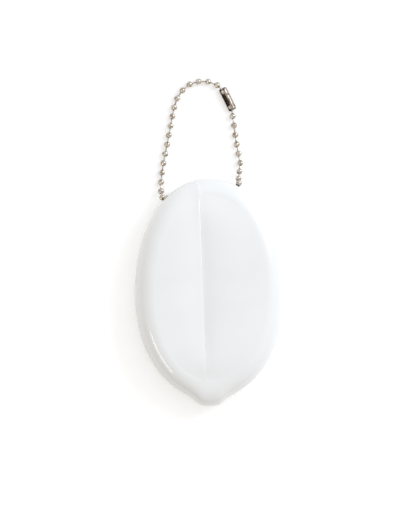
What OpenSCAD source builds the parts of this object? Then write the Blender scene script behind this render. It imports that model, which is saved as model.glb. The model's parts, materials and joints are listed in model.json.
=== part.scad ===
// Squeeze coin purse: an oval moulded vinyl pouch whose slit face opens like a mouth,
// with a loop of ball chain through two holes in its rim.
// The purse lies on its back: z = 0 is the flat back, +Z is the slit face, +Y is the chain end.

/* [Purse outline] */
// Half of the purse's width
half_width = 28; // [24:0.5:32]
// Reach of the oval from its widest line to the chain end
top_reach = 42.75; // [38:0.25:48]
// Reach of the oval from its widest line to the nub's root
bottom_reach = 39.75; // [36:0.25:45]
// Squareness of the oval, where 2 is a true ellipse
oval_power = 2.1; // [2:0.05:2.3]
// How far the nub stands out of the oval
nub_length = 2.95; // [1:0.05:5]
// Half of the nub's width at half its length
nub_half_width = 5.8; // [4:0.1:8]

/* [Purse section] */
// Height of the pillow crests above the back
crest_height = 14; // [12:0.5:18]
// Height of the widest line above the back
waist_height = 7; // [6:0.25:8]
// Width of the rounded edge between the widest line and the flat back
back_round = 6.5; // [4:0.25:8]
// Width of the rounded edge between the widest line and the crests
front_round = 7; // [5:0.25:9]
// Drop of the face from the crests to the slit
valley_depth = 1.8; // [0.5:0.1:3]
// Width of face over which that drop builds up
valley_run = 10; // [6:0.5:14]
// Drop of the crests towards the two ends of the oval
end_drop = 1.6; // [0:0.1:1.8]
// Thickness of the vinyl
wall = 2.2; // [1.6:0.1:2.4]

/* [Slit and lips] */
// Sideways place of the slit at the widest line
slit_offset = -2.7; // [-4:0.1:4]
// Lean of the slit, in degrees, with its upper end to the left
slit_lean = 2; // [-3:0.1:3]
// Width of the slit when it is closed
slit_gap = 0.3; // [0.2:0.05:0.6]
// Height at which the lips bend away from the side wall
fold_height = 9.4; // [9.2:0.1:9.8]
// End of the moving lips towards the chain
mouth_top = 32; // [26:0.5:33]
// End of the moving lips towards the nub
mouth_bottom = 31; // [26:0.5:33]
// Clearance round each moving lip
lip_clearance = 0.2; // [0.15:0.05:0.4]

/* [Ball chain] */
// Diameter of a bead
bead_d = 2.4; // [2:0.1:2.6]
// Thickness of a bead's shell
bead_shell = 0.15; // [0.12:0.01:0.18]
// Distance from bead to bead
bead_pitch = 3.6; // [3.4:0.05:3.8]
// Diameter of the link wire
link_d = 0.54; // [0.4:0.02:0.6]
// Radial clearance of a link in a bead's hole
link_clearance = 0.09; // [0.05:0.01:0.1]
// Diameter of the head at each end of a link
link_head_d = 0.84; // [0.76:0.02:0.86]
// Diameter of the two chain holes in the purse's rim
chain_hole_d = 3; // [2.8:0.1:3.4]
// Height of the chain holes above the back
chain_hole_height = 7.6; // [6:0.1:7.7]
// Place of the left chain hole round the oval, in degrees from +X
left_hole_angle = 125; // [115:1:135]
// Place of the right chain hole round the oval, in degrees from +X
right_hole_angle = 69; // [60:1:80]
// Turn of the left chain hole from square to the rim, in degrees
left_hole_turn = 18; // [0:1:24]
// How far the left stretch's first bead stands out of its hole's mouth
left_slack = -0.6; // [-0.6:0.1:0.2]
// How far the right stretch's first bead stands out of its hole's mouth
right_slack = 0.9; // [0:0.1:1]
// Tilt of the hidden stretch's sag, in degrees below level
sag_tilt = 55; // [40:1:80]

/* [Coupling] */
// Thickness of the coupling's sheet
coupling_sheet = 0.28; // [0.2:0.02:0.4]
// Radial clearance between the coupling and the beads that it holds
coupling_clearance = 0.07; // [0.05:0.01:0.12]
// Reach of the coupling past the centre of each bead that it holds
coupling_reach = 1.36; // [1.3:0.02:1.8]
// Diameter of the hole in each end of the coupling
coupling_end_hole_d = 2.2; // [1.9:0.05:2.3]
// Angle of the long opening in the coupling's side, in degrees
coupling_opening = 80; // [50:1:80]
// Turn of that opening up from level, in degrees
coupling_roll = 40; // [0:1:90]

/* [Hidden] */
$fn = 48;
BEAD_COUNT = 37;
LEFT_COUNT = 18;
RIGHT_COUNT = 9;
INNER_LINKS = 7;
function two_digits(n) = str(n < 10 ? "0" : "", n);
function bead_name(n) = str("bead_", two_digits(n));

vinyl = [0.95, 0.95, 0.94];
nickel = [0.72, 0.70, 0.67];
steps_round = 40;
steps_edge = 5;
steps_face = 5;
valley_bend = 2.2;
bead_r = bead_d / 2;
room = 100;

// Outline of the oval at angle t, drawn in by inset, with the nub as a share of its full length
function power(v) = sign(v) * pow(abs(v), 2 / oval_power);
function reach(t) = sin(t) >= 0 ? top_reach : bottom_reach;
function nub(x) = nub_length / (1 + pow(abs(x / nub_half_width), 4.5));
function outline(t, inset, nub_share) =
    let (
        x = (half_width - inset) * power(cos(t)),
        y = (reach(t) - inset) * power(sin(t))
    )
    [x, sin(t) < 0 ? y - nub_share * nub(x) : y];

// The slit's line across the face, and the angles at which its two edges meet the crests
function slit_x(y) = slit_offset - y * tan(slit_lean);
function angle_at_x(x) =
    acos(sign(x) * pow(abs(x) / (half_width - front_round), oval_power / 2));
half_gap = slit_gap / 2;
slit_foot = slit_x(front_round - bottom_reach);
slit_head = slit_x(top_reach - front_round);
right_from = -angle_at_x(slit_foot + half_gap);
right_to = angle_at_x(slit_head + half_gap);
left_from = angle_at_x(slit_head - half_gap);
left_to = 360 - angle_at_x(slit_foot - half_gap);

// Where the row at angle t meets the slit: the rows fan out, so that none crosses another
function own_angle(t, side) = side > 0 ? t : 180 - t;
function end_angle(own, side) =
    own < 0
        ? (side > 0 ? right_from : 180 - left_to)
        : (side > 0 ? right_to : 180 - left_from);
function slit_end(own, side) =
    (reach(own) - front_round) * power(sin(end_angle(own, side)));
function slit_y(t, side) =
    let (own = own_angle(t, side))
    slit_end(own, side) * power(sin(90 * own / end_angle(own, side)));
function spread(a, b) = [for (i = [0 : steps_round]) a + (b - a) * i / steps_round];
right_angles = spread(right_from, right_to);
left_angles = spread(left_from, left_to);

// Height of the crests at angle t: lower towards the ends
function crest(t) = crest_height - end_drop * pow(abs(sin(t)), 6);

// A point of the side wall at depth w under the surface, where turn runs from -90 at the
// back, through 0 at the widest line, to 90 at the crest
function side_point(t, turn, w) =
    let (
        edge = (turn < 0 ? back_round : front_round) - w,
        rise = (turn < 0 ? waist_height : crest(t) - waist_height) - w,
        p = outline(t, w + edge * (1 - cos(turn)), w > 0 ? 0 : pow(cos(turn), 0.7))
    )
    [p[0], p[1], waist_height + rise * sin(turn)];
function turn_at(t, z, w) = asin(min(1, (z - waist_height) / (crest(t) - waist_height - w)));

// Drop of the face, where width is the row's length and left what remains of the slit beyond
// the row: the valley builds up with the distance from the crest, also towards the slit's ends
function face_drop(share, width, left) =
    let (
        from_crest = share * width * valley_end(left / width),
        across = (1 - share) * width + from_crest
    )
    valley_depth * (1 - exp(-pow(across / valley_run, 2))) * pow(from_crest / across, valley_bend);
function valley_end(v) = 1 - 2 / (exp(2 * v) + 1);

// A point of the face, where share runs from 0 at the crest to 1 at the slit
function face_point(t, share, w, side) =
    let (
        p = side_point(t, 90, w),
        own = own_angle(t, side),
        end_y = slit_y(t, side),
        edge = slit_x(end_y) + side * half_gap,
        width = max(0.001, abs(edge - p[0])),
        left = abs(slit_end(own, side)) - abs(end_y)
    )
    [
        p[0] + (edge - p[0]) * share,
        p[1] + (end_y - p[1]) * share,
        p[2] - face_drop(share, width, max(0.001, left))
    ];

// The front half of the section at angle t, from the fold up and over to the slit
function front_section(t, w, side) =
    let (low = turn_at(t, fold_height, w))
    concat(
        [for (i = [0 : steps_edge]) side_point(t, low + (90 - low) * i / steps_edge, w)],
        [for (i = [1 : steps_face]) face_point(t, i / steps_face, w, side)]
    );
function turned(list) = [for (i = [len(list) - 1 : -1 : 0]) list[i]];

// A closed solid whose rows are closed loops of points, one after another
module looped_solid(rows) {
    n = len(rows[0]);
    m = len(rows);
    sides = [
        for (i = [0 : m - 2])
            for (j = [0 : n - 1])
                let (a = i * n + j, b = i * n + (j + 1) % n)
                each [[a, a + n, b + n], [a, b + n, b]]
    ];
    ends = [[for (j = [0 : n - 1]) j], [for (j = [n - 1 : -1 : 0]) (m - 1) * n + j]];
    polyhedron([for (row = rows) each row], concat(sides, ends), 10);
}

// The whole moulding as one closed skin: out over the back, up the side, over the face to the
// slit, then back along the inside
module moulding() {
    function ring(turn, w) = [for (t = concat(right_angles, left_angles)) side_point(t, turn, w)];
    function face_ring(share, w) = concat(
        [for (t = right_angles) face_point(t, share, w, 1)],
        [for (t = left_angles) face_point(t, share, w, -1)]
    );
    function from_fold(share, w) = [
        for (t = concat(right_angles, left_angles))
            let (low = turn_at(t, fold_height, w))
            side_point(t, low + (90 - low) * share, w)
    ];
    function layer(w) = concat(
        [for (i = [0 : steps_edge]) ring(-90 + 90 * i / steps_edge, w)],
        [for (i = [0 : steps_edge]) from_fold(i / steps_edge, w)],
        [for (i = [1 : steps_face]) face_ring(i / steps_face, w)]
    );
    looped_solid(concat(layer(0), turned(layer(wall))));
}

module front_half(angles, side) {
    looped_solid([
        for (t = angles)
            concat(front_section(t, 0, side), turned(front_section(t, wall, side)))
    ]);
}

module mouth_zone(clearance) {
    translate([-room / 2, -mouth_bottom - clearance, fold_height + lip_clearance - clearance])
        cube([room, mouth_top + mouth_bottom + 2 * clearance, room]);
}

// Chain holes: centre on the widest line, and the direction in which each leaves the rim
function rim_normal(t) =
    let (d = outline(t + 1, 0, 0) - outline(t - 1, 0, 0))
    atan2(-d[0], d[1]);
function at_height(p, z) = [p[0], p[1], z];
function heading(angle) = [cos(angle), sin(angle), 0];
left_mouth = at_height(outline(left_hole_angle, 0, 0), chain_hole_height);
right_mouth = at_height(outline(right_hole_angle, 0, 0), chain_hole_height);
left_way = heading(rim_normal(left_hole_angle) + left_hole_turn);
right_way = heading(rim_normal(right_hole_angle));

module along(from, to) {
    d = to - from;
    translate(from)
        rotate([0, acos(d[2] / norm(d)), atan2(d[1], d[0])])
            children();
}

module chain_hole(mouth, way) {
    along(mouth - way * (wall * 1.6), mouth + way * wall)
        cylinder(d = chain_hole_d, h = wall * 2.6);
}

module rear_shell() {
    color(vinyl)
        difference() {
            moulding();
            mouth_zone(lip_clearance);
            chain_hole(left_mouth, left_way);
            chain_hole(right_mouth, right_way);
        }
}

module lip(angles, side) {
    color(vinyl)
        intersection() {
            front_half(angles, side);
            mouth_zone(0);
        }
}

module left_lip() {
    lip(left_angles, -1);
}

module right_lip() {
    lip(right_angles, 1);
}

// Routes of the two visible stretches, from each hole's mouth to the coupling. Across and
// along are in bead pitches from the mouth, and the third value is the share of the drop
// from the hole to the surface that is still to come.
tube_r = bead_r + coupling_clearance + coupling_sheet;
end_lift = (tube_r - bead_r) / (chain_hole_height - bead_r);
left_route = [
    [0, 0, 1], [-0.48, 0.14, 0.5], [-0.57, 0.83, 0.14], [-0.56, 1.75, 0], [-0.34, 3.65, 0],
    [0.05, 5.6, 0], [0.4, 7.5, 0], [0.75, 9.4, 0], [1.06, 10.48, 0], [1.56, 11.36, 0],
    [2.28, 12.06, 0], [3.25, 12.42, 0], [4.24, 12.47, 0], [5.12, 12.2, 0.02], [5.9, 11.6, end_lift],
    [6.55, 10.6, end_lift]
];
right_route = [
    [0, 0, 1], [0.04, 0.55, 0.54], [0.2, 1.43, 0.18], [0.28, 2.36, 0],
    [0.11, 3.35, 0], [-0.09, 4.33, 0], [-0.23, 5.32, 0], [-0.37, 6.36, 0],
    [-0.52, 7.35, 0.02], [-0.66, 8.33, end_lift], [-1.02, 9.5, end_lift]
];

// A smooth curve through a route's points, as short straight steps
route_steps = 8;
function smooth(a, b, c, d, u) =
    0.5 * (2 * b + (c - a) * u + (2 * a - 5 * b + 4 * c - d) * u * u + (3 * b - a - 3 * c + d) * u * u * u);
function curve(points) =
    let (last = len(points) - 1)
    concat(
        [
            for (i = [0 : last - 1])
                for (k = [0 : route_steps - 1])
                    smooth(
                        points[max(i - 1, 0)], points[i], points[i + 1],
                        points[min(i + 2, last)], k / route_steps
                    )
        ],
        [points[last]]
    );
function placed(route, mouth) = [
    for (r = route)
        [
            mouth[0] + r[0] * bead_pitch,
            mouth[1] + r[1] * bead_pitch,
            bead_r + r[2] * (mouth[2] - bead_r)
        ]
];

// Bead centres along a curve, each exactly one pitch from the one before
function passed(path, i, c) = norm(path[i] - c) >= bead_pitch ? i : passed(path, i + 1, c);
function crossing(a, b, c) =
    let (
        f = a - c,
        g = b - a,
        fg = f * g,
        gg = g * g,
        u = (-fg + sqrt(fg * fg - gg * (f * f - bead_pitch * bead_pitch))) / gg
    )
    a + g * u;
function walk(path, i, c, left) =
    left == 0
        ? [c]
        : let (k = passed(path, i, c))
          concat([c], walk(path, k, crossing(path[k - 1], path[k], c), left - 1));
function laid(path) = [for (p = path) at_height(p, max(bead_r, p[2]))];
function run(route, start, count) = walk(laid(curve(placed(route, start))), 1, start, count);
left_start = left_mouth + left_way * left_slack;
right_start = right_mouth + right_way * right_slack;
left_run = run(left_route, left_start, LEFT_COUNT);
right_run = run(right_route, right_start, RIGHT_COUNT);

// The hidden stretch sags in an arc of equal links between the first beads inside the holes
inner_from = left_start - left_way * bead_pitch;
inner_to = right_start - right_way * bead_pitch;
inner_span = inner_to - inner_from;
inner_share = norm(inner_span) / bead_pitch;
function half_link_turn(low, high, left) =
    let (mid = (low + high) / 2)
    left == 0
        ? mid
        : sin(INNER_LINKS * mid) / sin(mid) > inner_share
            ? half_link_turn(mid, high, left - 1)
            : half_link_turn(low, mid, left - 1);
link_turn = half_link_turn(0.01, 180 / INNER_LINKS, 30);
arc_r = bead_pitch / 2 / sin(link_turn);
arc_along = inner_span / norm(inner_span);
arc_level = [arc_along[1], -arc_along[0], 0];
arc_down = arc_level * cos(sag_tilt) + [0, 0, -sin(sag_tilt)];
arc_middle = (inner_from + inner_to) / 2 - arc_down * arc_r * cos(INNER_LINKS * link_turn);
inner_beads = [
    for (k = [0 : INNER_LINKS])
        let (turn = (2 * k - INNER_LINKS) * link_turn)
        arc_middle + arc_along * arc_r * sin(turn) + arc_down * arc_r * cos(turn)
];

// All bead centres, from the coupling down the left stretch, through the purse and back up
beads = concat(turned(left_run), inner_beads, right_run);

bead_inner_r = bead_r - bead_shell;
head_r = link_head_d / 2;
head_place = bead_inner_r - head_r - 0.13;
hole_r = link_d / 2 + link_clearance;

module bead(n) {
    centre = beads[n - 1];
    color(nickel)
        difference() {
            along(centre, beads[n < BEAD_COUNT ? n : n - 2])
                rotate([90, 0, 0])
                    difference() {
                        sphere(r = bead_r);
                        sphere(r = bead_inner_r);
                    }
            if (n > 1) along(centre, beads[n - 2]) cylinder(r = hole_r, h = bead_d);
            if (n < BEAD_COUNT) along(centre, beads[n]) cylinder(r = hole_r, h = bead_d);
        }
}

// A dumb-bell link between bead n and the next
module link(n) {
    from = beads[n - 1];
    to = beads[n];
    span = norm(to - from);
    color(nickel)
        along(from, to)
            union() {
                translate([0, 0, head_place]) cylinder(d = link_d, h = span - 2 * head_place);
                translate([0, 0, head_place]) rotate([90, 0, 0]) sphere(r = head_r);
                translate([0, 0, span - head_place]) rotate([90, 0, 0]) sphere(r = head_r);
            }
}

module links(numbers) {
    for (n = numbers) link(n);
}

// The coupling: a rolled tube with a long opening, whose ends close in round the links
module coupling() {
    top = beads[0];
    foot = beads[BEAD_COUNT - 1];
    span = norm(foot - top);
    way = (foot - top) / span;
    length = span + 2 * coupling_reach;
    module sector() {
        rotate(180 + coupling_roll)
            polygon([
                [0, 0],
                [2 * tube_r, -2 * tube_r * tan(coupling_opening / 2)],
                [2 * tube_r, 2 * tube_r * tan(coupling_opening / 2)]
            ]);
    }
    module ring(inner_r) {
        difference() {
            circle(r = tube_r);
            circle(r = inner_r);
            sector();
        }
    }
    color(nickel)
        translate(top - way * coupling_reach)
            rotate([0, 0, atan2(way[1], way[0])])
                rotate([0, 90, 0])
                    rotate(-90)
                        union() {
                            linear_extrude(length) ring(tube_r - coupling_sheet);
                            linear_extrude(coupling_sheet) ring(coupling_end_hole_d / 2);
                            translate([0, 0, length - coupling_sheet])
                                linear_extrude(coupling_sheet) ring(coupling_end_hole_d / 2);
                        }
}

rear_shell();
left_lip();
right_lip();
coupling();
for (n = [1 : BEAD_COUNT]) bead(n);
links([19 : 27]);  // links_purse
links([16, 17, 18, 28, 29]);  // links_foot
links([13, 14, 15, 30, 31]);  // links_low
links([11, 12, 32, 33]);  // links_mid
links([9, 10, 34]);  // links_high
links([1, 2, 3, 4, 5, 6, 7, 8, 35, 36]);  // links_crown
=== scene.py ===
"""Looks of a squeeze coin purse on a loop of ball chain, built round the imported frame.

The purse lies on its flat back: z = 0 is the back, +Z the slit face, +Y the chain end. Sizes in the
classes are in millimetres, as on the real thing, and meshes are made in metres.
"""

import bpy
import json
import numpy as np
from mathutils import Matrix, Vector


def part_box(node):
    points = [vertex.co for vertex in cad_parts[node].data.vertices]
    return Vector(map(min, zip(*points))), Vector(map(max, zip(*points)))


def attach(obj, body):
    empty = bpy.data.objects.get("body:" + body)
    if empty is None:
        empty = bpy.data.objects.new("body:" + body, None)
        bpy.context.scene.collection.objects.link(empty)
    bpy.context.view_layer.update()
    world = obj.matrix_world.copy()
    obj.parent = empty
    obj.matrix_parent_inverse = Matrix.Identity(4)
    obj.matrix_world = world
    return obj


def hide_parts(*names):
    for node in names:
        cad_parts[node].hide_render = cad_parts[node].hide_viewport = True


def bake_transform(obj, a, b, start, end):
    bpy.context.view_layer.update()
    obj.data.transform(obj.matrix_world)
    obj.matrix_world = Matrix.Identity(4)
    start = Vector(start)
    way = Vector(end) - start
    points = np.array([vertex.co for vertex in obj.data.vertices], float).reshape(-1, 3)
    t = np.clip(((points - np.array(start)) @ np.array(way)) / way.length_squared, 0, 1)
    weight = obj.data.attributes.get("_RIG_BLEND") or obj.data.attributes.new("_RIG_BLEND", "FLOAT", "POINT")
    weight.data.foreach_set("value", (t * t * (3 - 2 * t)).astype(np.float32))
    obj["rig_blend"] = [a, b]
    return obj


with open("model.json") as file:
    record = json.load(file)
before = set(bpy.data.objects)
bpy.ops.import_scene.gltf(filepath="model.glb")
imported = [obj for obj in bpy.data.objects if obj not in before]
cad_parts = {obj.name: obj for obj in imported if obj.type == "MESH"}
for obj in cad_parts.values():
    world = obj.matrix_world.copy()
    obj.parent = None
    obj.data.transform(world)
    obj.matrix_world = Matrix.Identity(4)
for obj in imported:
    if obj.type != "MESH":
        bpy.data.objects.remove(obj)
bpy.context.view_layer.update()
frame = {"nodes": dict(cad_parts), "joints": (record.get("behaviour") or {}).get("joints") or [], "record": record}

import json
import logging
import math
import random
from dataclasses import dataclass, field
from enum import Enum

import bpy
import numpy as np
from mathutils import Matrix, Vector
from mathutils.bvhtree import BVHTree

log = logging.getLogger("coin_purse")
MM = 0.001


class Side(Enum):
    """The two halves of the moulding, each with its sign along X."""

    LEFT = -1
    RIGHT = 1


def linear(hex_colour: str) -> tuple[float, float, float, float]:
    """Turns an sRGB hex colour into linear light.

    Args:
        hex_colour: Six hex digits, such as "f2f0ec".

    Returns:
        Linear red, green, blue, and an alpha of 1.
    """
    channels = [int(hex_colour[i : i + 2], 16) / 255 for i in (0, 2, 4)]
    light = [c / 12.92 if c <= 0.04045 else ((c + 0.055) / 1.055) ** 2.4 for c in channels]
    return (light[0], light[1], light[2], 1.0)


def add_node(
    owner: bpy.types.Material | bpy.types.World,
    kind: str,
    settings: dict[str, object] | None = None,
    links: dict[str, bpy.types.NodeSocket] | None = None,
) -> bpy.types.Node:
    """Adds a shader node with its settings and its incoming links.

    Args:
        owner: The material or world that gets the node.
        kind: The node's type name.
        settings: Input socket or property names, with their values.
        links: Input socket names, with the outputs that feed them.

    Returns:
        The new node.
    """
    tree = owner.node_tree
    node = tree.nodes.new(kind)
    for name, value in (settings or {}).items():
        if name.isdigit():
            node.inputs[int(name)].default_value = value
        elif name in node.inputs:
            node.inputs[name].default_value = value
        else:
            setattr(node, name, value)
    for name, output in (links or {}).items():
        socket = node.inputs[int(name)] if name.isdigit() else node.inputs[name]
        tree.links.new(output, socket)
    return node


def blank_material(name: str) -> tuple[bpy.types.Material, bpy.types.Node, bpy.types.Node]:
    """Makes a node material with a principled shader.

    Args:
        name: The material's name.

    Returns:
        The material, its shader node and its output node.
    """
    material = bpy.data.materials.new(name)
    material.use_nodes = True
    nodes = material.node_tree.nodes
    return material, nodes["Principled BSDF"], nodes["Material Output"]


def fill_ramp(node: bpy.types.Node, stops: tuple[tuple[float, str], ...]) -> None:
    """Sets the stops of a colour ramp.

    Args:
        node: The ramp's node, as it is made, with two stops.
        stops: Places from 0 to 1, in order, each with its sRGB hex colour.
    """
    ramp = node.color_ramp.elements
    ramp[0].position, ramp[0].color = stops[0][0], linear(stops[0][1])
    ramp[1].position, ramp[1].color = stops[-1][0], linear(stops[-1][1])
    for place, colour in stops[1:-1]:
        ramp.new(place).color = linear(colour)


@dataclass(frozen=True)
class MouldedVinyl:
    """Soft white vinyl, dip moulded on a polished form.

    The eye gets a wet gloss over a milky body, a very slight orange peel, and a faint warm tint
    in soft patches that fall at random.
    """

    name: str = "white_vinyl_dip_moulded"
    colour: str = "f4f4f2"
    shade: str = "f1f1ee"
    roughness: float = 0.22
    rough_spread: float = 0.04
    ior: float = 1.53
    coat: float = 0.5
    coat_roughness: float = 0.04
    cloud_mm: float = 22.0
    shade_to: float = 0.35
    colour_from: float = 0.6
    peel_mm: float = 2.2
    peel_height_mm: float = 0.006
    scuff_mm: float = 0.35

    def build(self) -> bpy.types.Material:
        """Builds the material.

        Returns:
            The material.
        """
        material, shader, _ = blank_material(self.name)
        place = add_node(material, "ShaderNodeTexCoord").outputs["Object"]
        cloud = add_node(
            material,
            "ShaderNodeTexNoise",
            {"Scale": 1 / (self.cloud_mm * MM), "Detail": 3.0, "Roughness": 0.5},
            {"Vector": place},
        )
        tint = add_node(material, "ShaderNodeValToRGB", links={"Fac": cloud.outputs["Fac"]})
        fill_ramp(tint, ((self.shade_to, self.shade), (self.colour_from, self.colour)))
        material.node_tree.links.new(tint.outputs["Color"], shader.inputs["Base Color"])
        scuff = add_node(
            material,
            "ShaderNodeTexNoise",
            {"Scale": 1 / (self.scuff_mm * MM), "Detail": 2.0},
            {"Vector": place},
        )
        gloss = add_node(
            material,
            "ShaderNodeMapRange",
            {
                "To Min": self.roughness - self.rough_spread,
                "To Max": self.roughness + self.rough_spread,
            },
            {"Value": scuff.outputs["Fac"]},
        )
        material.node_tree.links.new(gloss.outputs["Result"], shader.inputs["Roughness"])
        peel = add_node(
            material,
            "ShaderNodeTexNoise",
            {"Scale": 1 / (self.peel_mm * MM), "Detail": 1.0},
            {"Vector": place},
        )
        bump = add_node(
            material,
            "ShaderNodeBump",
            {"Strength": 1.0, "Distance": self.peel_height_mm * MM},
            {"Height": peel.outputs["Fac"]},
        )
        material.node_tree.links.new(bump.outputs["Normal"], shader.inputs["Normal"])
        shader.inputs["IOR"].default_value = self.ior
        shader.inputs["Coat Weight"].default_value = self.coat
        shader.inputs["Coat Roughness"].default_value = self.coat_roughness
        return material


@dataclass(frozen=True)
class NickelPlate:
    """Nickel plating on rolled steel, barrel polished.

    The eye gets a warm grey mirror, broken by fine handling scratches and a little tarnish.
    """

    name: str = "nickel_plate_barrel_polished"
    colour: str = "d3cbbf"
    tarnish: str = "85786a"
    roughness: float = 0.16
    rough_spread: float = 0.07
    tarnish_mm: float = 0.9
    tarnish_to: float = 0.32
    colour_from: float = 0.55
    scratch_mm: float = 0.12
    scratch_height_mm: float = 0.003

    def build(self) -> bpy.types.Material:
        """Builds the material.

        Returns:
            The material.
        """
        material, shader, _ = blank_material(self.name)
        place = add_node(material, "ShaderNodeTexCoord").outputs["Object"]
        patch = add_node(
            material,
            "ShaderNodeTexNoise",
            {"Scale": 1 / (self.tarnish_mm * MM), "Detail": 4.0},
            {"Vector": place},
        )
        tint = add_node(material, "ShaderNodeValToRGB", links={"Fac": patch.outputs["Fac"]})
        fill_ramp(tint, ((self.tarnish_to, self.tarnish), (self.colour_from, self.colour)))
        material.node_tree.links.new(tint.outputs["Color"], shader.inputs["Base Color"])
        gloss = add_node(
            material,
            "ShaderNodeMapRange",
            {
                "To Min": self.roughness + self.rough_spread,
                "To Max": self.roughness - self.rough_spread,
            },
            {"Value": patch.outputs["Fac"]},
        )
        material.node_tree.links.new(gloss.outputs["Result"], shader.inputs["Roughness"])
        scratch = add_node(
            material,
            "ShaderNodeTexNoise",
            {"Scale": 1 / (self.scratch_mm * MM), "Detail": 1.0},
            {"Vector": place},
        )
        bump = add_node(
            material,
            "ShaderNodeBump",
            {"Distance": self.scratch_height_mm * MM},
            {"Height": scratch.outputs["Fac"]},
        )
        material.node_tree.links.new(bump.outputs["Normal"], shader.inputs["Normal"])
        shader.inputs["Metallic"].default_value = 1.0
        return material


def mesh_object(
    name: str, points: np.ndarray, faces: list[tuple[int, ...]], material: bpy.types.Material
) -> bpy.types.Object:
    """Makes a smooth-shaded mesh object from points in millimetres.

    Args:
        name: The piece's name.
        points: One row of x, y, z for each vertex, in millimetres.
        faces: Vertex numbers of each face.
        material: The finish.

    Returns:
        The new object, linked to the scene.
    """
    mesh = bpy.data.meshes.new(name)
    mesh.from_pydata((points * MM).tolist(), [], faces)
    mesh.validate()
    mesh.polygons.foreach_set("use_smooth", [True] * len(mesh.polygons))
    mesh.materials.append(material)
    piece = bpy.data.objects.new(name, mesh)
    bpy.context.scene.collection.objects.link(piece)
    return piece


def smoothstep(value: np.ndarray) -> np.ndarray:
    """Eases 0 to 1 with level ends."""
    held = np.clip(value, 0, 1)
    return held * held * (3 - 2 * held)


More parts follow.
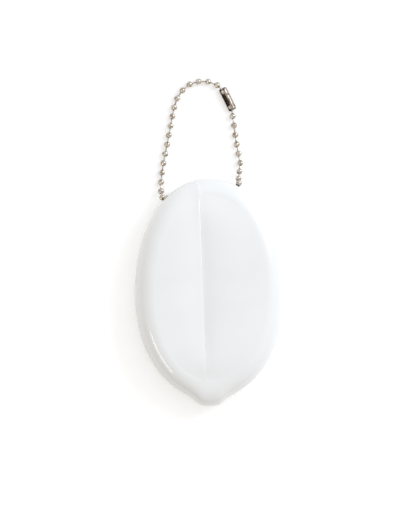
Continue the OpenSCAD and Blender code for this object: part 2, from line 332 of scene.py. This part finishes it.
@dataclass
class PurseForm:
    """The shape of the moulding, in millimetres, by the rule and sizes of its solids.

    Here the slit has no width at rest, the valley is a little tighter beside it, and the face
    leaves the crests level also at the oval's ends.
    """

    half_width: float = 28.0
    top_reach: float = 42.75
    bottom_reach: float = 39.75
    oval_power: float = 2.1
    nub_length: float = 2.95
    nub_half_width: float = 5.8
    nub_power: float = 4.5
    nub_wrap: float = 0.7
    crest_height: float = 14.0
    waist_height: float = 7.0
    back_round: float = 6.5
    front_round: float = 7.0
    valley_depth: float = 1.8
    valley_run: float = 10.0
    valley_bend: float = 2.6
    end_drop: float = 1.6
    end_drop_power: float = 6.0
    level_run: float = 12.0
    wall: float = 2.2
    slit_offset: float = -2.7
    slit_lean: float = 2.0
    slit_gap: float = 0.004
    fold_height: float = 9.4
    chain_hole_d: float = 3.0
    chain_hole_height: float = 7.6
    left_hole_angle: float = 125.0
    right_hole_angle: float = 69.0
    left_hole_turn: float = 18.0

    def power(self, value: np.ndarray) -> np.ndarray:
        """Bends a sine or cosine into the oval's squareness."""
        return np.sign(value) * np.abs(value) ** (2 / self.oval_power)

    def slit_x(self, y: np.ndarray) -> np.ndarray:
        """The slit's place across, at y."""
        return self.slit_offset - y * math.tan(math.radians(self.slit_lean))

    def outline(self, t: np.ndarray, inset: np.ndarray, nub: np.ndarray) -> np.ndarray:
        """Points of the oval.

        Args:
            t: Angles round the oval, in radians.
            inset: How far each point is drawn in.
            nub: Share of the nub's full length.

        Returns:
            The x and y of each point, stacked on the last axis.
        """
        reach = np.where(np.sin(t) >= 0, self.top_reach, self.bottom_reach)
        x = (self.half_width - inset) * self.power(np.cos(t))
        y = (reach - inset) * self.power(np.sin(t))
        swell = self.nub_length / (1 + np.abs(x / self.nub_half_width) ** self.nub_power)
        y = np.where(np.sin(t) < 0, y - nub * swell, y)
        return np.stack([x, y], -1)

    def crest(self, t: np.ndarray) -> np.ndarray:
        """Height of the crests at angle t."""
        return self.crest_height - self.end_drop * np.abs(np.sin(t)) ** self.end_drop_power

    def side(self, t: np.ndarray, turn: np.ndarray, depth: float) -> np.ndarray:
        """Points of the side wall.

        Args:
            t: Angles round the oval, in radians.
            turn: Angles up the wall, from -90 degrees at the back to 90 at the crest, in radians.
            depth: How far under the outer surface.

        Returns:
            One x, y, z for each pair of t and turn.
        """
        edge = np.where(turn < 0, self.back_round, self.front_round) - depth
        rise = np.where(turn < 0, self.waist_height, self.crest(t) - self.waist_height) - depth
        share = np.zeros_like(turn) if depth > 0 else np.cos(turn) ** self.nub_wrap
        flat = self.outline(t, depth + edge * (1 - np.cos(turn)), share)
        return np.concatenate([flat, (self.waist_height + rise * np.sin(turn))[..., None]], -1)

    def fold_turn(self, t: np.ndarray, depth: float) -> np.ndarray:
        """The turn at which the wall reaches the fold height."""
        rise = self.crest(t) - self.waist_height - depth
        return np.arcsin(np.clip((self.fold_height - self.waist_height) / rise, 0, 1))

    def end_angle(self, side: Side, reach: float) -> float:
        """Angle of the crest point at which one half ends.

        Args:
            side: Which half.
            reach: The oval's reach at that end, negative towards the nub.

        Returns:
            The angle from that half's own X axis, in radians.
        """
        inner = abs(reach) - self.front_round
        x = float(self.slit_x(np.array(math.copysign(inner, reach)))) * side.value
        width = self.half_width - self.front_round
        return math.acos(math.copysign((abs(x) / width) ** (self.oval_power / 2), x))

    def angles(self, side: Side, rows: int) -> np.ndarray:
        """Angles of the rows of one half, from the nub to the chain end.

        Args:
            side: Which half.
            rows: How many rows.

        Returns:
            The angles round the oval, in radians.
        """
        low = -self.end_angle(side, -self.bottom_reach)
        high = self.end_angle(side, self.top_reach)
        own = np.linspace(low, high, rows)
        return own if side is Side.RIGHT else math.pi - own

    def slit_row(self, t: np.ndarray, side: Side) -> tuple[np.ndarray, np.ndarray]:
        """Where each row meets the slit, along Y: the rows fan out so that none crosses another.

        Args:
            t: Angles round the oval, in radians.
            side: Which half.

        Returns:
            The place of each row along Y, and what remains of the slit beyond it.
        """
        own = t if side is Side.RIGHT else math.pi - t
        high = own >= 0
        end = np.where(
            high, self.end_angle(side, self.top_reach), self.end_angle(side, -self.bottom_reach)
        )
        reach = np.where(high, self.top_reach, self.bottom_reach)
        last = (reach - self.front_round) * self.power(np.sin(end))
        place = last * self.power(np.sin(np.abs(own) / end * math.pi / 2))
        return np.sign(own) * place, last - place

    def run(self, t: np.ndarray, side: Side) -> np.ndarray:
        """Width of the face at each row, from the crest to the slit."""
        start = self.side(t, np.full_like(t, math.pi / 2), 0.0)
        return np.abs(self.slit_x(self.slit_row(t, side)[0]) - start[:, 0])

    def face(self, t: np.ndarray, share: np.ndarray, depth: float, side: Side) -> np.ndarray:
        """Points of the face between the crest and the slit.

        Args:
            t: Angles round the oval, in radians.
            share: 0 at the crest to 1 at the slit.
            depth: How far under the outer surface.
            side: Which half.

        Returns:
            One x, y, z for each pair of t and share.
        """
        start = self.side(t, np.full_like(t, math.pi / 2), depth)
        end_y, left = self.slit_row(t, side)
        run = self.slit_x(end_y) + side.value * self.slit_gap / 2 - start[:, 0]
        width = np.maximum(np.abs(run), 0.001)
        from_crest = share * width * np.tanh(np.maximum(left, 0.001) / width)
        across = (1 - share) * width + from_crest
        drop = self.valley_depth * (1 - np.exp(-((across / self.valley_run) ** 2)))
        y = start[:, 1] + (end_y - start[:, 1]) * share
        height, slope = self.crest_at(y)
        level = slope * self.crest_normal_y(t) * from_crest
        level *= np.clip(1 - from_crest / self.level_run, 0, 1) ** 2
        return np.stack(
            [
                start[:, 0] + run * share,
                y,
                height - depth - drop * (from_crest / across) ** self.valley_bend + level,
            ],
            -1,
        )

    def crest_at(self, y: np.ndarray) -> tuple[np.ndarray, np.ndarray]:
        """The crests' height at places along Y.

        Args:
            y: The places.

        Returns:
            The heights, and how steeply each rises along Y.
        """
        inner = np.where(y >= 0, self.top_reach, self.bottom_reach) - self.front_round
        power = self.end_drop_power / 2 * self.oval_power
        share = np.minimum(np.abs(y) / inner, 1)
        slope = -self.end_drop * power * share ** (power - 1) / inner * np.sign(y)
        return self.crest_height - self.end_drop * share**power, slope

    def crest_normal_y(self, t: np.ndarray) -> np.ndarray:
        """How far the way out of the oval points along Y, on the crest.

        Args:
            t: Angles round the oval, in radians.

        Returns:
            The Y of the level way out, from -1 to 1.
        """
        width = self.half_width - self.front_round
        length = np.where(np.sin(t) >= 0, self.top_reach, self.bottom_reach) - self.front_round
        bend = 2 - 2 / self.oval_power
        across = np.abs(np.cos(t)) ** bend / width
        along = np.abs(np.sin(t)) ** bend / length
        return np.sign(np.sin(t)) * along / np.hypot(across, along)

    def chain_hole(self, side: Side) -> tuple[np.ndarray, np.ndarray]:
        """Places one chain hole.

        Args:
            side: Which half it is in.

        Returns:
            The hole's mouth on the widest line, and the way out of it.
        """
        angle = self.left_hole_angle if side is Side.LEFT else self.right_hole_angle
        step = math.radians(1)
        t = math.radians(angle) + np.array([-step, 0, step])
        before, here, after = self.outline(t, np.zeros(3), np.zeros(3))
        way = math.atan2(before[0] - after[0], after[1] - before[1])
        way += math.radians(self.left_hole_turn) if side is Side.LEFT else 0.0
        mouth = np.array([here[0], here[1], self.chain_hole_height])
        return mouth, np.array([math.cos(way), math.sin(way), 0.0])


@dataclass
class VinylPurse:
    """The one-piece moulding, as two skins that meet at the slit and along the middle of the back.

    Each skin follows its lip's joint near the slit and stays with the body elsewhere, so the
    mouth opens as the bending vinyl does.
    """

    form: PurseForm = field(default_factory=PurseForm)
    finish: MouldedVinyl = field(default_factory=MouldedVinyl)
    rows: int = 320
    back_columns: int = 10
    wall_columns: int = 56
    face_columns: int = 26
    back_crowding: float = 0.7
    fold_share: float = 0.3
    lip_band: float = 2.4
    widest_band: float = 0.5
    lip_round: float = 0.6
    tucked_round: float = 0.05
    round_from: float = -10.0
    round_run: float = 45.0
    full_row: float = 8.0
    lip_steps: tuple[float, ...] = (0.8, 0.6, 0.42, 0.3, 0.2, 0.13, 0.08, 0.045, 0.02, 0.0)
    lap_low: float = 0.12
    lap_high: float = 0.42
    lap_reach: float = 2.0
    lap_sink: float = 0.4
    lap_foot: float = -36.0
    lap_foot_run: float = 5.0
    lap_base: float = 8.8
    lap_base_run: float = 2.0
    mouth_middle: float = 1.5
    mouth_half: float = 36.0
    mouth_power: float = 1.2
    step_depth: float = 0.9

    def build(self) -> list[bpy.types.Object]:
        """Builds both halves and the edges of the chain holes.

        Returns:
            The left half and its hole's edge, then the right ones.
        """
        material = self.finish.build()
        pieces = []
        for side in Side:
            half, edge = self.half(side, material)
            pieces += [half, edge]
        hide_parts("left_lip")
        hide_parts("right_lip", "rear_shell")
        return pieces

    def with_ends(self, loop: np.ndarray) -> np.ndarray:
        """Adds two rows at each end: the end row again and one under it, which close the step.

        Args:
            loop: Rows of points round one half's skin, with the outer surface first.

        Returns:
            The rows with the added ones.
        """
        half = loop.shape[1] // 2
        made = []
        for end in (loop[0], loop[-1]):
            under = end.copy()
            under[:half, 2] -= np.where(end[:half, 2] > self.form.waist_height, self.step_depth, 0)
            made.append(np.stack([under, end]))
        return np.concatenate([made[0], loop, made[1][::-1]], 0)

    def back_seam(self, y: np.ndarray) -> np.ndarray:
        """Where the two halves meet across the flat back.

        Args:
            y: Places along Y.

        Returns:
            The seam's X at each.
        """
        ends = []
        for reach in (-self.form.bottom_reach, self.form.top_reach):
            t = math.copysign(self.form.end_angle(Side.RIGHT, reach), reach)
            ends.append(self.form.side(np.array([t]), np.array([-math.pi / 2]), 0.0)[0])
        (x0, y0, _), (x1, y1, _) = ends
        return x0 + (x1 - x0) * (y - y0) / (y1 - y0)

    def layer(self, t: np.ndarray, side: Side, depth: float) -> tuple[np.ndarray, np.ndarray]:
        """One skin surface of a half, from the middle of the back round to the slit.

        Args:
            t: Angles of the rows.
            side: Which half.
            depth: 0 for the outside, the wall's thickness for the inside.

        Returns:
            Points as rows by columns by 3, and how far each has come from the fold towards the
            slit, from 0 to 1.
        """
        form = self.form
        columns, shares = [], []
        rim = form.side(t, np.full_like(t, -math.pi / 2), depth)
        for k in range(self.back_columns):
            s = (k / self.back_columns) ** self.back_crowding
            x = self.back_seam(rim[:, 1]) * (1 - s) + rim[:, 0] * s
            columns.append(np.stack([x, rim[:, 1], rim[:, 2]], -1))
            shares.append(np.zeros_like(t))
        fold = form.fold_turn(t, depth)
        bent = self.fold_share
        for k in range(self.wall_columns + 1):
            turn = math.pi * (k / self.wall_columns - 0.5)
            columns.append(form.side(t, np.full_like(t, turn), depth))
            shares.append(bent * np.clip((turn - fold) / (math.pi / 2 - fold), 0, 1))
        run = form.run(t, side)
        band = np.minimum(self.widest_band, self.lip_band / np.maximum(run, 1e-6))
        steps = [(k / self.face_columns) * (1 - band) for k in range(1, self.face_columns + 1)]
        steps += [1 - band * d for d in self.lip_steps]
        for s in steps:
            point = form.face(t, s, depth, side)
            if depth == 0:
                point[:, 2] += self.edge_round((1 - s) * run, run, point[:, 1], side)
            columns.append(point)
            shares.append(bent + (1 - bent) * s)
        return np.stack(columns, 1), np.stack(shares, 1)

    def edge_round(
        self, off: np.ndarray, run: np.ndarray, y: np.ndarray, side: Side
    ) -> np.ndarray:
        """Drop of the lip's rounded edge, which shows on the left lip, towards the chain end.

        Args:
            off: Distance from the slit's edge.
            run: Width of the face there.
            y: Place along the slit.
            side: Which half.

        Returns:
            The height to add, in millimetres, never above 0.
        """
        full = self.lip_round if side is Side.LEFT else self.tucked_round
        shown = smoothstep((y - self.round_from) / self.round_run)
        radius = self.tucked_round + (full - self.tucked_round) * shown
        radius = radius * smoothstep(run / self.full_row) + 1e-4
        inside = np.clip(radius - off, 0, radius)
        return np.sqrt(radius**2 - inside**2) - radius

    def lap(self, points: np.ndarray, side: Side) -> np.ndarray:
        """Height by which the left lip rides over the right one, on both sides of the slit.

        Args:
            points: Points of the outer surface.
            side: Which half.

        Returns:
            The height to add, in millimetres.
        """
        x, y, z = points[..., 0], points[..., 1], points[..., 2]
        off = np.abs(x - self.form.slit_x(y))
        along = np.clip((y - self.lap_foot) / (self.form.top_reach - self.lap_foot), 0, 1)
        high = self.lap_low + (self.lap_high - self.lap_low) * along
        shown = smoothstep((y - self.lap_foot) / self.lap_foot_run)
        shown = shown * smoothstep((z - self.lap_base) / self.lap_base_run)
        bulge = high * shown * np.exp(-((off / self.lap_reach) ** 2))
        return bulge if side is Side.LEFT else -self.lap_sink * bulge

    def half(self, side: Side, material: bpy.types.Material) -> list[bpy.types.Object]:
        """Builds one half with its chain hole and lets it bend with its lip.

        Args:
            side: Which half.
            material: The finish.

        Returns:
            The half's object and its hole's edge.
        """
        t = self.form.angles(side, self.rows)
        outer, outer_share = self.layer(t, side, 0.0)
        outer[..., 2] += self.lap(outer, side)
        inner, inner_share = self.layer(t, side, self.form.wall)
        loop = self.with_ends(np.concatenate([outer, inner[:, ::-1]], 1))
        share = np.concatenate([outer_share, inner_share[:, ::-1]], 1)
        share = np.concatenate([share[:1], share[:1], share, share[-1:], share[-1:]], 0)
        rows, columns = loop.shape[:2]
        faces = []
        for i in [0, *range(2, rows - 3), rows - 2]:
            for j in range(columns - 1):
                a, b = i * columns + j, (i + 1) * columns + j
                faces.append((a, a + 1, b + 1, b) if side is Side.RIGHT else (a, b, b + 1, a + 1))
        points = loop.reshape(-1, 3)
        hole = ChainHole(*self.form.chain_hole(side), self.form.chain_hole_d / 2)
        edge = hole.edge(f"{side.name.lower()}_hole_edge", points, faces, material)
        points, faces = hole.open(points, faces)
        name = f"vinyl_{side.name.lower()}_half"
        piece = mesh_object(name, points, faces, material)
        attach(edge, "purse")
        lip = f"{side.name.lower()}_lip"
        fold = Vector(next(j["pos_m"] for j in frame["joints"] if j["child"] == lip))
        middle = Vector((self.form.slit_offset * MM, 0, fold.z))
        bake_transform(piece, "purse", lip, start=fold, end=middle)
        span = (loop[..., 1] - self.mouth_middle) / self.mouth_half
        weight = smoothstep(share) * np.clip(1 - span**2, 0, 1) ** self.mouth_power
        bend = piece.data.attributes["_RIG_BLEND"]
        bend.data.foreach_set("value", weight.reshape(-1).astype(np.float32))
        return [piece, edge]


@dataclass
class ChainHole:
    """A round hole through the rim, with a softly rounded edge, in millimetres.

    Each ring of the edge has its distance outside the hole, as a share of the rounding, and how
    far it lies off the skin along the way out.
    """

    mouth: np.ndarray
    way: np.ndarray
    radius: float
    rounding: float = 0.3
    cleared: float = 0.6
    outer_rings: tuple[tuple[float, float], ...] = (
        (1.5, -0.02), (1.0, 0.004), (0.6, 0.0), (0.3, -0.07), (0.1, -0.18), (0.0, -0.32)
    )
    inner_rings: tuple[tuple[float, float], ...] = ((0.0, 0.3), (0.5, 0.05), (1.5, -0.02))
    past_outer: float = 0.2
    segments: int = 56
    reach: float = 5.0

    def open(
        self, points: np.ndarray, faces: list[tuple[int, ...]]
    ) -> tuple[np.ndarray, list[tuple[int, ...]]]:
        """Takes the hole's faces out of a skin and rounds what is left to the hole's edge.

        Args:
            points: The skin's points.
            faces: The skin's faces.

        Returns:
            The points and the faces that stay. No point is taken out.
        """
        offset = points - self.mouth
        depth = offset @ self.way
        radial = offset - depth[:, None] * self.way
        off = np.linalg.norm(radial, axis=1)
        edge = self.radius + self.rounding * self.cleared
        near = (off < edge) & (np.abs(depth) < self.reach)
        kept = [face for face in faces if not all(near[k] for k in face)]
        moved = points.copy()
        scale = edge / np.maximum(off[near], 1e-6)
        moved[near] = self.mouth + depth[near, None] * self.way + radial[near] * scale[:, None]
        return moved, kept

    def edge(
        self,
        name: str,
        points: np.ndarray,
        faces: list[tuple[int, ...]],
        material: bpy.types.Material,
    ) -> bpy.types.Object:
        """Builds the rounded edge and the hole's wall.

        Args:
            name: The piece's name.
            points: The unbroken skin's points.
            faces: The unbroken skin's faces.
            material: The finish.

        Returns:
            The edge's object.
        """
        tree = BVHTree.FromPolygons(points.tolist(), faces)
        across = np.array([-self.way[1], self.way[0], 0.0])
        up = np.array([0.0, 0.0, 1.0])
        rings = []
        for share, off in self.outer_rings:
            rings.append(self.ring(tree, across, up, self.rounding * share, off, False))
        for share, off in self.inner_rings:
            rings.append(self.ring(tree, across, up, self.rounding * share, off, True))
        n = self.segments
        made = [
            (i * n + j, i * n + (j + 1) % n, (i + 1) * n + (j + 1) % n, (i + 1) * n + j)
            for i in range(len(rings) - 1)
            for j in range(n)
        ]
        return mesh_object(name, np.concatenate(rings), made, material)

    def ring(
        self,
        tree: BVHTree,
        across: np.ndarray,
        up: np.ndarray,
        wider: float,
        off: float,
        inside: bool,
    ) -> np.ndarray:
        """One loop of the edge, laid on the skin.

        Args:
            tree: The skin.
            across: Level direction square to the way out.
            up: Upward direction.
            wider: How much wider than the hole the loop is.
            off: Distance from the skin along the way out.
            inside: Whether the loop lies on the inner surface.

        Returns:
            The loop's points.
        """
        made = []
        for k in range(self.segments):
            a = 2 * math.pi * k / self.segments
            offset = (across * math.cos(a) + up * math.sin(a)) * (self.radius + wider)
            start = Vector(self.mouth + offset + self.way * self.reach)
            way = Vector(-self.way)
            hit = tree.ray_cast(start, way)[0]
            if inside:
                hit = tree.ray_cast(hit + way * self.past_outer, way)[0]
            made.append(np.array(hit) + self.way * off)
        return np.array(made)


@dataclass
class BallChain:
    """Hollow beads rolled from sheet, on dumb-bell links, in millimetres.

    Each row of turned_in is one ring of a hole's edge: how much wider than the hole it is, and
    how deep under the hole's rim.
    """

    bead_d: float = 2.4
    hole_r: float = 0.4
    hole_round: float = 0.07
    turned_in: tuple[tuple[float, float], ...] = ((0.01, 0.15), (0.0, 0.08), (0.02, 0.02))
    seam_depth: float = 0.035
    seam_turns: tuple[float, ...] = (-9.0, -5.0, -2.2, 0.0, 2.2, 5.0, 9.0)
    seam_shares: tuple[float, ...] = (0.0, 0.0, 0.6, 1.0, 0.6, 0.0, 0.0)
    segments: int = 36
    rings: int = 22
    roll_seed: int = 4
    finish: NickelPlate = field(default_factory=NickelPlate)

    def build(self) -> list[bpy.types.Object]:
        """Builds the beads and dresses the links.

        Returns:
            The beads, then the links' nodes.
        """
        material = self.finish.build()
        names = sorted(name for name in frame["nodes"] if name.startswith("bead_"))
        centres = [self.centre(name) for name in names]
        pattern = self.bead_mesh(material)
        dice = random.Random(self.roll_seed)
        pieces = []
        for k, name in enumerate(names):
            before, after = centres[max(k - 1, 0)], centres[min(k + 1, len(names) - 1)]
            piece = bpy.data.objects.new(name.replace("bead", "bead_shell"), pattern.copy())
            bpy.context.scene.collection.objects.link(piece)
            turn = (after - before).to_track_quat("Z", "X").to_matrix()
            roll = Matrix.Rotation(dice.uniform(0, 2 * math.pi), 3, "Z")
            piece.data.transform(Matrix.Translation(centres[k]) @ (turn @ roll).to_4x4())
            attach(piece, self.body_of(name))
            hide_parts(name)
            pieces.append(piece)
        bpy.data.meshes.remove(pattern)
        for name, node in frame["nodes"].items():
            if name.startswith("links_"):
                node.data.materials.clear()
                node.data.materials.append(material)
                node.data.polygons.foreach_set("use_smooth", [True] * len(node.data.polygons))
                pieces.append(node)
        return pieces

    @staticmethod
    def centre(name: str) -> Vector:
        """The middle of a node, in metres."""
        low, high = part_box(name)
        return (low + high) / 2

    @staticmethod
    def body_of(node: str) -> str:
        """The body that a node belongs to."""
        bodies = frame["record"]["behaviour"]["bodies"]
        return next(body for body, nodes in bodies.items() if node in nodes)

    def bead_mesh(self, material: bpy.types.Material) -> bpy.types.Mesh:
        """Builds one bead round its own middle: a sphere with two turned-in holes and a seam.

        Args:
            material: The finish.

        Returns:
            The mesh, of which every bead gets a copy.
        """
        radius = self.bead_d / 2
        pole = math.asin((self.hole_r + self.hole_round) / radius)
        rim = math.cos(pole) * radius
        profile = [(self.hole_r + wider, rim - deep) for wider, deep in self.turned_in]
        for k in range(self.rings + 1):
            a = pole + (math.pi - 2 * pole) * k / self.rings
            profile.append((radius * math.sin(a), radius * math.cos(a)))
        profile += [(r, -z) for r, z in reversed(profile[: len(self.turned_in)])]
        first = self.seam_turns[-1]
        plain = [first + (360 - 2 * first) * k / self.segments for k in range(1, self.segments)]
        turns = list(self.seam_turns) + plain
        sunk = list(self.seam_shares) + [0.0] * len(plain)
        points = []
        for r, z in profile:
            for turn, share in zip(turns, sunk, strict=True):
                held = 1 - self.seam_depth / radius * share * min(1.0, 2 * r / radius)
                a = math.radians(turn)
                points.append((r * held * math.cos(a), r * held * math.sin(a), z))
        n = len(turns)
        faces = [
            (i * n + j, (i + 1) * n + j, (i + 1) * n + (j + 1) % n, i * n + (j + 1) % n)
            for i in range(len(profile) - 1)
            for j in range(n)
        ]
        piece = mesh_object("bead_pattern", np.array(points), faces, material)
        mesh = piece.data
        bpy.data.objects.remove(piece)
        return mesh


@dataclass
class Coupling:
    """The sleeve that closes the chain: sheet rolled round two beads, open along one side."""

    bead_r: float = 1.2
    clearance: float = 0.07
    sheet: float = 0.28
    reach: float = 1.36
    end_hole_d: float = 2.2
    opening: float = 80.0
    roll: float = 40.0
    shoulder: float = 0.8
    shoulder_steps: int = 6
    middle_steps: int = 14
    segments: int = 40
    finish: NickelPlate = field(
        default_factory=lambda: NickelPlate(
            name="nickel_plate_rolled_sheet", colour="a2978a", tarnish="5c5147", roughness=0.28
        )
    )

    def build(self) -> bpy.types.Object:
        """Builds the sleeve in the node's place.

        Returns:
            The sleeve's object.
        """
        top, foot = BallChain.centre("bead_01"), BallChain.centre("bead_37")
        way = (foot - top).normalized()
        length = (foot - top).length / MM + 2 * self.reach
        outer = self.bead_r + self.clearance + self.sheet
        stations = self.stations(length, outer)
        half = math.radians(self.opening / 2)
        points = []
        for along, radius in stations:
            for k in range(self.segments + 1):
                a = half + (2 * math.pi - 2 * half) * k / self.segments
                for r in (radius, radius - self.sheet):
                    points.append((along, r * math.cos(a), r * math.sin(a)))
        piece = mesh_object(
            "coupling_sleeve", np.array(points), self.faces(len(stations)), self.finish.build()
        )
        side = Vector((0, 0, 1)).cross(way).normalized()
        side = -side if side.x > 0 else side
        up = side.cross(way) if side.cross(way).z > 0 else way.cross(side)
        facing = side * math.cos(math.radians(self.roll)) + up * math.sin(math.radians(self.roll))
        other = way.cross(facing)
        turn = Matrix((way, facing, other)).transposed().to_4x4()
        piece.data.transform(Matrix.Translation(top - way * self.reach * MM) @ turn)
        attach(piece, "coupling")
        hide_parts("coupling")
        return piece

    def stations(self, length: float, outer: float) -> list[tuple[float, float]]:
        """Places along the sleeve, whose ends close in round the links.

        Args:
            length: The sleeve's length.
            outer: Its outer radius.

        Returns:
            Each place with its outer radius.
        """
        end_r = self.end_hole_d / 2 + self.sheet / 2
        end = []
        for k in range(self.shoulder_steps + 1):
            a = math.pi / 2 * k / self.shoulder_steps
            radius = end_r + (outer - end_r) * math.sin(a)
            end.append((self.shoulder * (1 - math.cos(a)), radius))
        straight = length - 2 * self.shoulder
        middle = [
            (self.shoulder + straight * (k / self.middle_steps), outer)
            for k in range(1, self.middle_steps)
        ]
        return end + middle + [(length - place, radius) for place, radius in reversed(end)]

    def faces(self, count: int) -> list[tuple[int, ...]]:
        """Faces of the sleeve: both sides of the sheet, its long edges and its two ends.

        Args:
            count: How many stations there are.

        Returns:
            Vertex numbers of each face.
        """
        width = 2 * (self.segments + 1)
        made = []
        for i in range(count - 1):
            for k in range(self.segments):
                a, b = i * width + 2 * k, (i + 1) * width + 2 * k
                made.append((a, a + 2, b + 2, b))
                made.append((a + 1, b + 1, b + 3, a + 3))
            for k in (0, self.segments):
                a, b = i * width + 2 * k, (i + 1) * width + 2 * k
                made.append((a, b, b + 1, a + 1) if k == 0 else (a, a + 1, b + 1, b))
        for i in (0, count - 1):
            for k in range(self.segments):
                a = i * width + 2 * k
                made.append((a, a + 1, a + 3, a + 2) if i == 0 else (a, a + 2, a + 3, a + 1))
        return made


@dataclass(frozen=True)
class Panel:
    """A soft rectangular light that faces the purse, in millimetres.

    A panel that only glints shows in glossy surfaces and lights nothing else.
    """

    name: str
    place: tuple[float, float, float]
    width: float
    height: float
    watts: float
    colour: str
    only_glints: bool = False

    def build(self) -> None:
        """Adds the light."""
        light = bpy.data.lights.new(self.name, "AREA")
        light.shape = "RECTANGLE"
        light.size, light.size_y = self.width * MM, self.height * MM
        light.energy = self.watts
        light.color = linear(self.colour)[:3]
        lamp = bpy.data.objects.new(self.name, light)
        lamp.location = Vector(self.place) * MM
        lamp.rotation_mode = "QUATERNION"
        lamp.rotation_quaternion = (-lamp.location).to_track_quat("-Z", "Y")
        lamp.visible_diffuse = not self.only_glints
        bpy.context.scene.collection.objects.link(lamp)


@dataclass(frozen=True)
class PaperSheet:
    """Matt white card under the purse, milled.

    The eye gets plain white with the purse's soft shadow on it. A little glow, seen only by the
    camera and in glossy surfaces, lifts it to white.
    """

    name: str = "white_paper_sheet"
    colour: str = "efeeec"
    roughness: float = 0.9
    glow: float = 0.3
    half_width: float = 1500.0
    clear_of_purse: float = 0.02

    def build(self) -> None:
        """Builds the sheet and its material."""
        material, shader, output = blank_material(self.name)
        shader.inputs["Base Color"].default_value = linear(self.colour)
        shader.inputs["Roughness"].default_value = self.roughness
        ray = add_node(material, "ShaderNodeLightPath")
        glow = add_node(material, "ShaderNodeEmission", {"Strength": self.glow})
        seen = add_node(
            material,
            "ShaderNodeMath",
            {"operation": "MAXIMUM"},
            {"0": ray.outputs["Is Camera Ray"], "1": ray.outputs["Is Glossy Ray"]},
        )
        both = add_node(
            material, "ShaderNodeAddShader", links={"0": shader.outputs[0], "1": glow.outputs[0]}
        )
        shown = add_node(
            material,
            "ShaderNodeMixShader",
            links={"0": seen.outputs[0], "1": shader.outputs[0], "2": both.outputs[0]},
        )
        material.node_tree.links.new(shown.outputs[0], output.inputs["Surface"])
        r, z = self.half_width, -self.clear_of_purse
        corners = np.array([[-r, -r, z], [r, -r, z], [r, r, z], [-r, r, z]])
        mesh_object("paper_sheet", corners, [(0, 1, 2, 3)], material)


@dataclass
class Studio:
    """Plain pale floor, soft lights and the camera over the purse, in millimetres.

    The camera's axis meets the picture at axis_x and axis_y, in pixels from the top left, where
    X and Y are 0. It leans by lean_left and lean_low degrees from straight above. The room's
    stops run from the side away from bright_way to the side towards it. The window is cool and
    high on the right, and the card glints low on the left.
    """

    pixel: float = 0.375
    image_width: int = 416
    image_height: int = 520
    axis_x: float = 209.5
    axis_y: float = 292.0
    aim_height: float = 7.0
    lean_left: float = 4.0
    lean_low: float = 3.0
    distance: float = 1000.0
    sensor: float = 36.0
    near: float = 10.0
    far: float = 10000.0
    bright_way: tuple[float, float, float] = (0.2, 0.55, 0.81)
    room_stops: tuple[tuple[float, str], ...] = (
        (0.24, "7f6b50"), (0.55, "f0eeea"), (0.95, "f8faff")
    )
    room_light: float = 0.92
    sheet: PaperSheet = field(default_factory=PaperSheet)
    window: Panel = Panel(
        "window_light",
        place=(460, 310, 350),
        width=280,
        height=400,
        watts=1.62,
        colour="e6f0ff",
    )
    card: Panel = Panel(
        "warm_card",
        place=(-292, -208, 261),
        width=250,
        height=34,
        watts=0.24,
        colour="fff6ec",
        only_glints=True,
    )

    def build(self) -> None:
        """Builds the sheet, both lights, the room and the camera."""
        self.sheet.build()
        self.window.build()
        self.card.build()
        self.room()
        self.camera()

    def room(self) -> None:
        """Makes the room: warm and dim low on the left, cool and pale above and behind."""
        world = bpy.data.worlds.new("pale_room")
        world.use_nodes = True
        back = world.node_tree.nodes["Background"]
        back.inputs["Strength"].default_value = self.room_light
        place = add_node(world, "ShaderNodeTexCoord").outputs["Generated"]
        side = add_node(
            world,
            "ShaderNodeVectorMath",
            {"operation": "DOT_PRODUCT", "1": tuple(Vector(self.bright_way).normalized())},
            {"0": place},
        )
        share = add_node(
            world, "ShaderNodeMapRange", {"From Min": -1.0}, {"Value": side.outputs["Value"]}
        )
        tone = add_node(world, "ShaderNodeValToRGB", links={"Fac": share.outputs["Result"]})
        fill_ramp(tone, self.room_stops)
        world.node_tree.links.new(tone.outputs["Color"], back.inputs["Color"])
        bpy.context.scene.world = world

    def camera(self) -> None:
        """Looks nearly straight down, at the photograph's framing."""
        centre_x = (self.image_width / 2 - self.axis_x) * self.pixel
        centre_y = (self.axis_y - self.image_height / 2) * self.pixel
        target = Vector((centre_x * MM, centre_y * MM, self.aim_height * MM))
        lean_x, lean_y = math.radians(self.lean_left), math.radians(self.lean_low)
        back = Vector((-math.sin(lean_x), -math.sin(lean_y), 1.0)).normalized()
        up = (Vector((0, 1, 0)) - back * back.y).normalized()
        data = bpy.data.cameras.new("camera")
        data.sensor_fit = "AUTO"
        data.sensor_width = self.sensor
        data.lens = self.sensor * self.distance / (self.image_height * self.pixel)
        data.clip_start, data.clip_end = self.near * MM, self.far * MM
        cam = bpy.data.objects.new("camera", data)
        cam.location = target + back * (self.distance * MM)
        cam.rotation_mode = "QUATERNION"
        turn = Matrix((up.cross(back), up, back)).transposed()
        cam.rotation_quaternion = turn.to_quaternion()
        bpy.context.scene.collection.objects.link(cam)
        bpy.context.scene.camera = cam
        bpy.context.scene.view_settings.view_transform = "Standard"


def main() -> None:
    """Builds every part of the scene, in order, and reports each piece."""
    logging.basicConfig(level=logging.INFO, format="%(name)s: %(message)s")
    pieces = VinylPurse().build() + BallChain().build() + [Coupling().build()]
    for piece in pieces:
        log.info("%s", piece.name)
    Studio().build()


if __name__ == "__main__":
    main()
